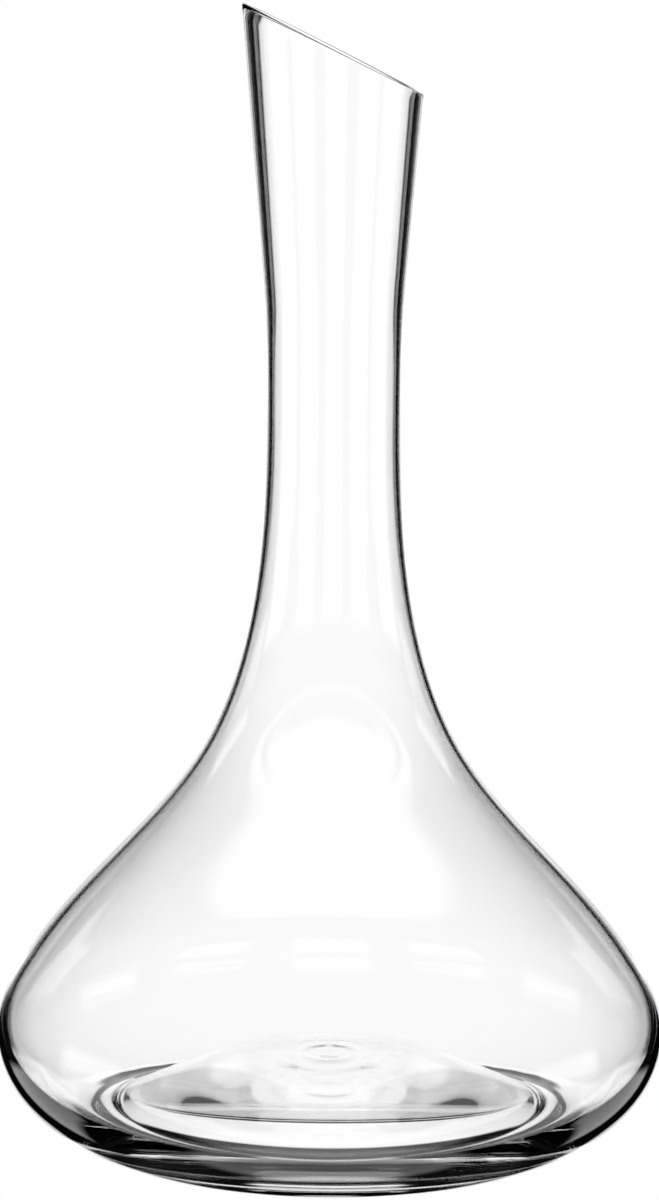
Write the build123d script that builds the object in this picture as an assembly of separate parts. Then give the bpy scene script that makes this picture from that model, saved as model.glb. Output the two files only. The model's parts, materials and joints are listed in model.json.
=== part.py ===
from build123d import *
import math
import os

# A wine decanter blown in one piece of clear glass, in millimetres. The origin is on the axis, on the
# surface that the foot stands on, and +Z points up. The mouth's cut is high at -X and low at +X.

# Bowl and the narrowest ring of the neck, outside
BOWL_RADIUS = 101.0
BELLY_HEIGHT = 36.0
WAIST_RADIUS = 20.0
WAIST_HEIGHT = 232.0

# Neck above the waist: a bend, then a straight flare, outside and inside
FLARE_BEND_RADIUS = 360.0
FLARE_ANGLE = 4.9
INSIDE_BEND_RADIUS = 200.0
INSIDE_FLARE_ANGLE = 4.3

# Mouth: a plane cut across the flare, then fire-polished
RIM_HEIGHT = 330.4
RIM_SLOPE = 26.5
RIM_POLISH_RADIUS = 0.7
UNCUT_HEIGHT = 352.0

# Straight stretch of the neck's bore
BORE_RADIUS = 18.5
BORE_BOTTOM = 218.0
BORE_LENGTH = 28.0

# Foot ring, and the wide, shallow punt inside it
FOOT_OUTER_RADIUS = 70.0
FOOT_INNER_RADIUS = 66.0
FOOT_HEEL_ANGLE = 12.0
FOOT_PUNT_ANGLE = 35.0
PUNT_HEIGHT = 16.5

# Floor of the bowl, which rises over the punt
FLOOR_PEAK_HEIGHT = 30.0
TROUGH_RADIUS = 76.0
TROUGH_HEIGHT = 8.0

# Outside of the bowl from the heel to the neck, as (radius, height, wall thickness there). The heel has no
# thickness of its own, because there the floor sets it.
HEEL = (73.0, 1.0)
OUTSIDE = [
    (86.8, 8.6, 5.0),
    (97.3, 20.6, 3.8),
    (BOWL_RADIUS, BELLY_HEIGHT, 2.8),
    (93.7, 54.6, 2.5),
    (78.6, 74.6, 2.3),
    (58.0, 96.5, 1.9),
    (39.0, 120.4, 1.6),
    (27.5, 148.2, 1.4),
    (21.25, 186.0, 1.5),
]

# Floor from the foot of its dome towards the peak, and punt from the ring towards the peak, both as
# (radius, height)
FLOOR_SLOPE = [(58.0, 13.5), (39.0, 23.5), (18.0, 29.0)]
PUNT_SLOPE = [(52.0, 6.9), (26.0, 14.6)]


def toward(angle):
    """The unit direction in the outline's plane at an angle above straight out from the axis."""
    return Vector(math.cos(math.radians(angle)), 0, math.sin(math.radians(angle)))


def at(radius, height):
    return Vector(radius, 0, height)


def smooth_curve(points, start_angle, end_angle):
    """A spline through the points. Unit end tangents keep it from looping where spacing is uneven."""
    ends = [toward(start_angle), toward(end_angle)]
    return Spline(*points, tangents=ends, tangent_scalars=[1.0, 1.0])


def flare(start, bend_radius, angle):
    """The bend that leaves the straight neck, and the straight flare above it."""
    turn = math.radians(angle)
    bend_end = start + at(bend_radius * (1 - math.cos(turn)), bend_radius * math.sin(turn))
    rise = UNCUT_HEIGHT - bend_end.Z
    top = bend_end + at(rise * math.tan(turn), rise)
    return TangentArc(start, bend_end, tangent=toward(90)), Line(bend_end, top)


def outside_bowl():
    heel = [at(FOOT_OUTER_RADIUS, 0), at(*HEEL)]
    stations = [at(radius, height) for radius, height, wall in OUTSIDE]
    waist = at(WAIST_RADIUS, WAIST_HEIGHT)
    return smooth_curve([*heel, *stations, waist], FOOT_HEEL_ANGLE, 90)


def inside_point(outside, radius, height, wall):
    """The point a wall's thickness in from the outside, square to it."""
    station = at(radius, height)
    along = outside.tangent_at(outside.param_at_point(station))
    return station + at(-along.Z, along.X) * wall


def inside_bowl(outside):
    """The inside from the floor's peak on the axis, through the trough, up to the foot of the bore."""
    peak = at(0, FLOOR_PEAK_HEIGHT)
    floor = [at(radius, height) for radius, height in reversed(FLOOR_SLOPE)]
    trough = at(TROUGH_RADIUS, TROUGH_HEIGHT)
    walls = [inside_point(outside, *station) for station in OUTSIDE]
    bore_bottom = at(BORE_RADIUS, BORE_BOTTOM)
    return smooth_curve([peak, *floor, trough, *walls, bore_bottom], 0, 90)


def punt():
    slope = [at(radius, height) for radius, height in PUNT_SLOPE]
    return smooth_curve([at(FOOT_INNER_RADIUS, 0), *slope, at(0, PUNT_HEIGHT)], 180 - FOOT_PUNT_ANGLE, 180)


def uncut_vessel():
    """The whole vessel with a level mouth, before the slanted cut."""
    outside = outside_bowl()
    outside_bend, outside_flare = flare(outside @ 1, FLARE_BEND_RADIUS, FLARE_ANGLE)
    inside = inside_bowl(outside)
    bore = Line(inside @ 1, inside @ 1 + at(0, BORE_LENGTH))
    inside_bend, inside_flare = flare(bore @ 1, INSIDE_BEND_RADIUS, INSIDE_FLARE_ANGLE)
    underside = punt()
    foot_ring = Line(underside @ 0, outside @ 0)
    mouth = Line(outside_flare @ 1, inside_flare @ 1)
    axis = Line(inside @ 0, underside @ 1)
    sides = [outside, outside_bend, outside_flare, mouth, inside_flare, inside_bend, bore, inside]
    outline = Wire([foot_ring, *sides, axis, underside])
    return revolve(Face(outline), Axis.Z, 360)


def above_the_cut():
    """A block whose lower face is the mouth's slanted plane."""
    side = UNCUT_HEIGHT
    mouth = Plane(origin=(0, 0, RIM_HEIGHT), z_dir=toward(90 - RIM_SLOPE))
    return mouth * Box(side, side, side, align=(Align.CENTER, Align.CENTER, Align.MIN))


def decanter_body():
    vessel = uncut_vessel() - above_the_cut()
    rim = vessel.faces().sort_by(Axis.Z)[-1]
    return fillet(rim.edges(), RIM_POLISH_RADIUS)


os.makedirs("parts", exist_ok=True)
export_step(decanter_body(), "parts/decanter_body.step")
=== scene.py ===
import json
import math

import bmesh
import bpy
from mathutils import Matrix, Vector


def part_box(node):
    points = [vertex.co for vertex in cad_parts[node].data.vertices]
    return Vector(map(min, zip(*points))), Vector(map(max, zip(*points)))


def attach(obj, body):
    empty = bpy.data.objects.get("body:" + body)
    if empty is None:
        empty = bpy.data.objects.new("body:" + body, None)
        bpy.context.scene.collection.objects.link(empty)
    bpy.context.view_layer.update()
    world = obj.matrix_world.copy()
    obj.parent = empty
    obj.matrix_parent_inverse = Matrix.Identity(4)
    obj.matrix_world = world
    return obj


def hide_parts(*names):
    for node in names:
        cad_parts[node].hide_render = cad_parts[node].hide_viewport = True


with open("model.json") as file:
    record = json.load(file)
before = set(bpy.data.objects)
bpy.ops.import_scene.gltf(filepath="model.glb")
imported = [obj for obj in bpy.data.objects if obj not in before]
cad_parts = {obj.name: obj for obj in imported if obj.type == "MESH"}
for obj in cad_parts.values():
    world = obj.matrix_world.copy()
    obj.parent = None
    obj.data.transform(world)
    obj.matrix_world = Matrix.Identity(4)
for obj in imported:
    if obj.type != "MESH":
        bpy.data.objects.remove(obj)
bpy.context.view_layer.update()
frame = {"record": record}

# The vessel, in metres. The bowl's radius and the neck's straight bore come from the frame, and the other
# sizes are the CAD model's own.
BODY_LOW, BODY_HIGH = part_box("decanter_body")
BOWL_RADIUS = (BODY_HIGH.x - BODY_LOW.x) / 2
BELLY_HEIGHT = 0.036
WAIST_RADIUS = 0.0200
WAIST_HEIGHT = 0.232
BORE = next(mount for mount in frame["record"]["mounts"] if mount["name"] == "neck_bore")
BORE_RADIUS = BORE["dims"]["r_mm"] / 1000
BORE_LENGTH = BORE["dims"]["length_mm"] / 1000
BORE_BOTTOM = BORE["pos_m"][2] - BORE_LENGTH / 2

# Neck above the waist: a bend, then a straight flare, outside and inside
FLARE_BEND_RADIUS = 0.360
FLARE_ANGLE = math.radians(4.9)
INSIDE_BEND_RADIUS = 0.200
INSIDE_FLARE_ANGLE = math.radians(4.3)

# The mouth's slanted plane, high at -X, and the rounding of the polished lip's two edges
RIM_HEIGHT = 0.3304
RIM_SLOPE = math.tan(math.radians(26.5))
LIP_POLISH_RADIUS = 0.0007

# Foot ring, the punt inside it, and the floor above it, with places as (radius, height)
FOOT_OUTER_RADIUS = 0.070
FOOT_INNER_RADIUS = 0.066
FOOT_HEEL_ANGLE = math.radians(12)
FOOT_PUNT_ANGLE = math.radians(35)
PUNT_HEIGHT = 0.0165
PUNT_SLOPE = [(0.052, 0.0069), (0.026, 0.0146)]
FLOOR_PEAK_HEIGHT = 0.030
TROUGH = (0.076, 0.008)
FLOOR_SLOPE = [(0.058, 0.0135), (0.039, 0.0235), (0.018, 0.029)]

# Faint rings in the middle of the punt
MARK_RADIUS = 0.030
MARK_PITCH = 0.0075
MARK_DEPTH = 0.00012

# Outside of the bowl from the heel to the neck, as (radius, height, wall thickness there)
HEEL = (0.073, 0.001)
OUTSIDE = [
    (0.0868, 0.0086, 0.0050),
    (0.0973, 0.0206, 0.0038),
    (BOWL_RADIUS, BELLY_HEIGHT, 0.0028),
    (0.0937, 0.0546, 0.0025),
    (0.0786, 0.0746, 0.0023),
    (0.0580, 0.0965, 0.0019),
    (0.0390, 0.1204, 0.0016),
    (0.0275, 0.1482, 0.0014),
    (0.02125, 0.1860, 0.0015),
]

# How finely the glass is meshed
AROUND = 240
STEPS_OUTSIDE = 120
STEPS_BEND = 8
STEPS_FLARE = 24
STEPS_LIP = 7
STEPS_BORE = 6
STEPS_INSIDE = 130
STEPS_PUNT = 60

# Faint ripple of blown glass
RIPPLES_PER_METRE = 30.0
RIPPLE_HEIGHT = 0.00004

# Camera at the photograph's viewing angle, looking along +Y and down at a point close to the axis
CAMERA_DISTANCE = 1.400
CAMERA_HEIGHT = 0.3552
AIM = Vector((-0.0009, 0, 0.1659))
SENSOR_WIDTH = 36
CAMERA_ROLL = math.radians(0.42)
VIEW_HEIGHT_ANGLE = math.radians(14.56)


def direction(angle):
    return Vector((math.cos(angle), math.sin(angle)))


def clamped_cubic(knots, values, start_slope, end_slope):
    """Second derivatives of the cubic spline through values at knots, with its end slopes held."""
    count = len(knots)
    upper = [0.0] * count
    second = [0.0] * count
    upper[0] = -0.5
    span = knots[1] - knots[0]
    second[0] = 3 / span * ((values[1] - values[0]) / span - start_slope)
    for i in range(1, count - 1):
        before = knots[i] - knots[i - 1]
        after = knots[i + 1] - knots[i]
        share = before / (before + after)
        pivot = share * upper[i - 1] + 2
        upper[i] = (share - 1) / pivot
        bend = (values[i + 1] - values[i]) / after - (values[i] - values[i - 1]) / before
        second[i] = (6 * bend / (before + after) - share * second[i - 1]) / pivot
    span = knots[-1] - knots[-2]
    last = 3 / span * (end_slope - (values[-1] - values[-2]) / span)
    second[-1] = (last - 0.5 * second[-2]) / (0.5 * upper[-2] + 1)
    for i in range(count - 2, -1, -1):
        second[i] = upper[i] * second[i + 1] + second[i]
    return second


class Curve:
    """A smooth curve through (radius, height) points, as the CAD's spline draws it."""

    def __init__(self, points, start_angle, end_angle):
        self.points = [Vector(point) for point in points]
        self.knots = [0.0]
        for here, there in zip(self.points, self.points[1:]):
            self.knots.append(self.knots[-1] + (there - here).length)
        start, end = direction(start_angle), direction(end_angle)
        self.seconds = [
            clamped_cubic(self.knots, [point[axis] for point in self.points], start[axis], end[axis])
            for axis in (0, 1)
        ]

    def at(self, share):
        """The point at a share of the curve's length, from 0 to 1."""
        along = share * self.knots[-1]
        i = max(k for k in range(len(self.knots) - 1) if self.knots[k] <= along + 1e-12)
        span = self.knots[i + 1] - self.knots[i]
        b = (along - self.knots[i]) / span
        a = 1 - b
        out = []
        for axis in (0, 1):
            line = a * self.points[i][axis] + b * self.points[i + 1][axis]
            second = self.seconds[axis]
            out.append(line + ((a**3 - a) * second[i] + (b**3 - b) * second[i + 1]) * span**2 / 6)
        return Vector(out)

    def tangent(self, station):
        """The unit direction at one of the points the curve was drawn through."""
        share = self.knots[station] / self.knots[-1]
        step = 1e-4
        return (self.at(min(1, share + step)) - self.at(max(0, share - step))).normalized()

    def sample(self, steps):
        return [self.at(i / steps) for i in range(steps + 1)]


def outside_bowl():
    stations = [(radius, height) for radius, height, wall in OUTSIDE]
    points = [(FOOT_OUTER_RADIUS, 0), HEEL, *stations, (WAIST_RADIUS, WAIST_HEIGHT)]
    return Curve(points, FOOT_HEEL_ANGLE, math.radians(90))


def inside_bowl(outside):
    """The inside from the floor's peak, through the trough, up to the foot of the bore."""
    walls = []
    foot_and_heel = 2
    for number, (radius, height, wall) in enumerate(OUTSIDE, start=foot_and_heel):
        along = outside.tangent(number)
        walls.append(Vector((radius, height)) + Vector((-along.y, along.x)) * wall)
    floor = [(0, FLOOR_PEAK_HEIGHT), *reversed(FLOOR_SLOPE), TROUGH]
    return Curve([*floor, *walls, (BORE_RADIUS, BORE_BOTTOM)], 0, math.radians(90))


def punt():
    points = [(FOOT_INNER_RADIUS, 0), *PUNT_SLOPE, (0, PUNT_HEIGHT)]
    return Curve(points, math.radians(180) - FOOT_PUNT_ANGLE, math.radians(180))


def with_marks(point):
    """A point of the punt, with the faint rings that the glassmaker's post leaves round the middle."""
    share = min(1, point.x / MARK_RADIUS)
    fade = math.cos(share * math.pi / 2)
    return point + Vector((0, MARK_DEPTH * fade * math.sin(2 * math.pi * point.x / MARK_PITCH)))


def flare_bend(start, bend_radius, angle, steps):
    """Points along the bend above a straight neck, from its start to where the straight flare begins."""
    turns = [angle * i / steps for i in range(steps + 1)]
    return [start + bend_radius * Vector((1 - math.cos(turn), math.sin(turn))) for turn in turns]


def meets_cut(flare_foot, angle, turn):
    """Where a straight flare meets the mouth's plane, on the side of the neck at a turn."""
    slope = math.tan(angle)
    lean = RIM_SLOPE * math.cos(turn)
    height = (RIM_HEIGHT - lean * (flare_foot.x - slope * flare_foot.y)) / (1 + lean * slope)
    return Vector((flare_foot.x + slope * (height - flare_foot.y), height))


def rounded_corner(before, corner, after, radius, steps):
    """Points round an arc of one radius that replaces a corner between two straight lines."""
    back = (before - corner).normalized()
    ahead = (after - corner).normalized()
    half = back.angle(ahead) / 2
    start = corner + back * radius / math.tan(half)
    center = corner + (back + ahead).normalized() * radius / math.sin(half)
    spoke = start - center
    sweep = math.pi - 2 * half
    side = math.copysign(1, back.y * ahead.x - back.x * ahead.y)
    turns = [side * sweep * i / steps for i in range(steps + 1)]
    return [center + Matrix.Rotation(turn, 2) @ spoke for turn in turns]


def up_flare(foot, end):
    return [foot.lerp(end, i / STEPS_FLARE) for i in range(1, STEPS_FLARE)]


def outline(turn):
    """The outline at one turn: up the outside, over the lip, down the inside to the floor's peak."""
    outer_foot, inner_foot = OUTSIDE_BEND[-1], INSIDE_BEND[-1]
    outer_edge = meets_cut(outer_foot, FLARE_ANGLE, turn)
    inner_edge = meets_cut(inner_foot, INSIDE_FLARE_ANGLE, turn)
    over = rounded_corner(outer_foot, outer_edge, inner_edge, LIP_POLISH_RADIUS, STEPS_LIP)
    into = rounded_corner(outer_edge, inner_edge, inner_foot, LIP_POLISH_RADIUS, STEPS_LIP)
    lip = [*over, over[-1].lerp(into[0], 0.5), *into]
    up = [*OUTSIDE_BEND[1:], *up_flare(outer_foot, over[0])]
    down = [*reversed(up_flare(inner_foot, into[-1])), *reversed(INSIDE_BEND)]
    return [*OUTSIDE_POINTS, *up, *lip, *down, *BORE_POINTS, *INSIDE_POINTS]


OUTSIDE_CURVE = outside_bowl()
OUTSIDE_POINTS = OUTSIDE_CURVE.sample(STEPS_OUTSIDE)
OUTSIDE_BEND = flare_bend(OUTSIDE_POINTS[-1], FLARE_BEND_RADIUS, FLARE_ANGLE, STEPS_BEND)
BORE_TOP = Vector((BORE_RADIUS, BORE_BOTTOM + BORE_LENGTH))
INSIDE_BEND = flare_bend(BORE_TOP, INSIDE_BEND_RADIUS, INSIDE_FLARE_ANGLE, STEPS_BEND)
BORE_POINTS = [BORE_TOP - Vector((0, BORE_LENGTH * i / STEPS_BORE)) for i in range(1, STEPS_BORE)]
INSIDE_POINTS = list(reversed(inside_bowl(OUTSIDE_CURVE).sample(STEPS_INSIDE)))[:-1]
PUNT_POINTS = [with_marks(point) for point in punt().sample(STEPS_PUNT)[:-1]]


def vessel_mesh():
    """One closed skin: a ring of outlines, with the floor's peak and the punt's peak on the axis."""
    mesh = bmesh.new()
    columns = []
    for number in range(AROUND):
        turn = 2 * math.pi * number / AROUND
        side = Vector((math.cos(turn), math.sin(turn), 0))
        points = [*reversed(PUNT_POINTS), *outline(turn)]
        columns.append([mesh.verts.new(side * radius + Vector((0, 0, height))) for radius, height in points])
    punt_peak = mesh.verts.new((0, 0, PUNT_HEIGHT))
    floor_peak = mesh.verts.new((0, 0, FLOOR_PEAK_HEIGHT))
    for here, there in zip(columns, columns[1:] + columns[:1]):
        mesh.faces.new((punt_peak, there[0], here[0]))
        mesh.faces.new((floor_peak, here[-1], there[-1]))
        for low in range(len(here) - 1):
            mesh.faces.new((here[low], there[low], there[low + 1], here[low + 1]))
    bmesh.ops.recalc_face_normals(mesh, faces=mesh.faces)
    data = bpy.data.meshes.new("decanter_glass")
    mesh.to_mesh(data)
    mesh.free()
    for face in data.polygons:
        face.use_smooth = True
    return data


def clear_glass():
    """Colourless glass, with the faint ripple of blown work."""
    material = bpy.data.materials.new("clear_glass")
    material.use_nodes = True
    nodes, links = material.node_tree.nodes, material.node_tree.links
    shader = nodes["Principled BSDF"]
    shader.inputs["Base Color"].default_value = (0.99, 0.99, 0.99, 1)
    shader.inputs["Transmission Weight"].default_value = 1.0
    shader.inputs["Roughness"].default_value = 0.0
    shader.inputs["IOR"].default_value = 1.5
    place = nodes.new("ShaderNodeTexCoord")
    noise = nodes.new("ShaderNodeTexNoise")
    noise.inputs["Scale"].default_value = RIPPLES_PER_METRE
    noise.inputs["Detail"].default_value = 1.0
    bump = nodes.new("ShaderNodeBump")
    bump.inputs["Strength"].default_value = 1.0
    bump.inputs["Distance"].default_value = RIPPLE_HEIGHT
    links.new(place.outputs["Object"], noise.inputs["Vector"])
    links.new(noise.outputs["Fac"], bump.inputs["Height"])
    links.new(bump.outputs["Normal"], shader.inputs["Normal"])
    return material


def add_vessel():
    glass = bpy.data.objects.new("decanter_glass", vessel_mesh())
    bpy.context.collection.objects.link(glass)
    glass.data.materials.append(clear_glass())
    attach(glass, "root")
    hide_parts("decanter_body")


class Maths:
    """Short names for the maths nodes of one node tree."""

    def __init__(self, tree):
        self.tree = tree

    def node(self, operation, *values):
        node = self.tree.nodes.new("ShaderNodeMath")
        node.operation = operation
        for socket, value in zip(node.inputs, values):
            if isinstance(value, (int, float)):
                socket.default_value = value
            else:
                self.tree.links.new(value, socket)
        return node.outputs[0]

    def ramp(self, value, low, high, at_low, at_high):
        """A smooth step from at_low to at_high as the value goes from low to high."""
        node = self.tree.nodes.new("ShaderNodeMapRange")
        node.interpolation_type = "SMOOTHSTEP"
        self.tree.links.new(value, node.inputs["Value"])
        for name, number in (("From Min", low), ("From Max", high), ("To Min", at_low), ("To Max", at_high)):
            node.inputs[name].default_value = number
        return node.outputs["Result"]


# Studio light: eight bright panels round the glass, with dark between them. From each of eight sides a panel
# shows through the glass, and the dark beside it draws the edges. A panel is (compass angle of the view that
# looks towards it, half-width, lowest and highest elevation), in degrees.
PANELS = [
    (0, 14, -24, 60),
    (45, 12, -38, -20),
    (90, 12, -12, 7),
    (135, 12, -31, 0),
    (180, 12, -31, 7),
    (225, 12, -31, 0),
    (270, 12, -12, 7),
    (315, 12, -38, -20),
]
PANEL_EDGE = 4.0
PANEL_LIGHT = 1.15
DARK = 0.004

# Light from below, which fades to dark between two elevations
UNDER_LIGHT = 0.9
UNDER_EDGE = (-68, -62)

# Floor, and the plain backdrop that the camera sees in place of the panels
WHITE = 1.0
FLOOR_SIZE = 12
MOST_BOUNCES = 12


def panel_share(maths, x, y, elevation, panel):
    """How much of a direction lies within a panel: 1 inside, 0 outside, and smooth across its edges."""
    angle, half_width, lowest, highest = panel
    ahead_x = -math.sin(math.radians(angle))
    ahead_y = math.cos(math.radians(angle))
    along = maths.node("ADD", maths.node("MULTIPLY", x, ahead_x), maths.node("MULTIPLY", y, ahead_y))
    across = maths.node("SUBTRACT", maths.node("MULTIPLY", x, ahead_y), maths.node("MULTIPLY", y, ahead_x))
    turned = maths.node("ABSOLUTE", maths.node("DEGREES", maths.node("ARCTAN2", across, along)))
    beside = maths.ramp(turned, half_width, half_width + PANEL_EDGE, 1, 0)
    below_top = maths.ramp(elevation, highest, highest + PANEL_EDGE, 1, 0)
    above_foot = maths.ramp(elevation, lowest - PANEL_EDGE, lowest, 0, 1)
    return maths.node("MULTIPLY", beside, maths.node("MULTIPLY", below_top, above_foot))


def light_from(maths, x, y, z):
    """The light that comes from a direction: a panel's, the light from below, or dark."""
    elevation = maths.node("DEGREES", maths.node("ARCSINE", z))
    panels = 0.0
    for panel in PANELS:
        panels = maths.node("MAXIMUM", panels, panel_share(maths, x, y, elevation, panel))
    below = maths.ramp(elevation, *UNDER_EDGE, UNDER_LIGHT, DARK)
    return maths.node("MAXIMUM", maths.node("MULTIPLY", panels, PANEL_LIGHT), below)


def studio_world():
    """The studio's light, with plain white for rays that come straight from the camera."""
    world = bpy.data.worlds.new("studio")
    bpy.context.scene.world = world
    world.use_nodes = True
    tree = world.node_tree
    compass = tree.nodes.new("ShaderNodeTexCoord")
    split = tree.nodes.new("ShaderNodeSeparateXYZ")
    tree.links.new(compass.outputs["Generated"], split.inputs[0])
    path = tree.nodes.new("ShaderNodeLightPath")
    mix = tree.nodes.new("ShaderNodeMix")
    mix.data_type = "FLOAT"
    tree.links.new(path.outputs["Is Camera Ray"], mix.inputs[0])
    tree.links.new(light_from(Maths(tree), *split.outputs), mix.inputs[2])
    mix.inputs[3].default_value = WHITE
    tree.links.new(mix.outputs[0], tree.nodes["Background"].inputs["Color"])


def add_floor():
    """A plain pale floor, evenly bright, which the glass neither reflects nor shows through it."""
    mesh = bmesh.new()
    bmesh.ops.create_grid(mesh, x_segments=1, y_segments=1, size=FLOOR_SIZE)
    data = bpy.data.meshes.new("floor")
    mesh.to_mesh(data)
    mesh.free()
    floor = bpy.data.objects.new("floor", data)
    bpy.context.collection.objects.link(floor)
    material = bpy.data.materials.new("pale_floor")
    material.use_nodes = True
    shader = material.node_tree.nodes["Principled BSDF"]
    shader.inputs["Base Color"].default_value = (0, 0, 0, 1)
    shader.inputs["Specular IOR Level"].default_value = 0
    shader.inputs["Emission Color"].default_value = (1, 1, 1, 1)
    shader.inputs["Emission Strength"].default_value = WHITE
    data.materials.append(material)
    floor.visible_transmission = False
    floor.visible_glossy = False


def add_camera():
    camera = bpy.data.objects.new("camera", bpy.data.cameras.new("camera"))
    bpy.context.collection.objects.link(camera)
    camera.location = (AIM.x, -CAMERA_DISTANCE, CAMERA_HEIGHT)
    aimed = (AIM - camera.location).to_track_quat("-Z", "Y").to_matrix().to_4x4()
    rolled = aimed.to_euler()
    rolled.rotate_axis("Z", CAMERA_ROLL)
    camera.rotation_euler = rolled
    camera.data.sensor_width = SENSOR_WIDTH
    camera.data.lens = SENSOR_WIDTH / 2 / math.tan(VIEW_HEIGHT_ANGLE / 2)
    bpy.context.scene.camera = camera


add_vessel()
add_floor()
studio_world()
add_camera()
bpy.context.scene.view_settings.view_transform = "Standard"

# More bounces would carry light many times round the thick base, as false stripes
bpy.context.scene.cycles.max_bounces = MOST_BOUNCES
bpy.context.scene.cycles.transmission_bounces = MOST_BOUNCES
bpy.context.scene.cycles.glossy_bounces = MOST_BOUNCES
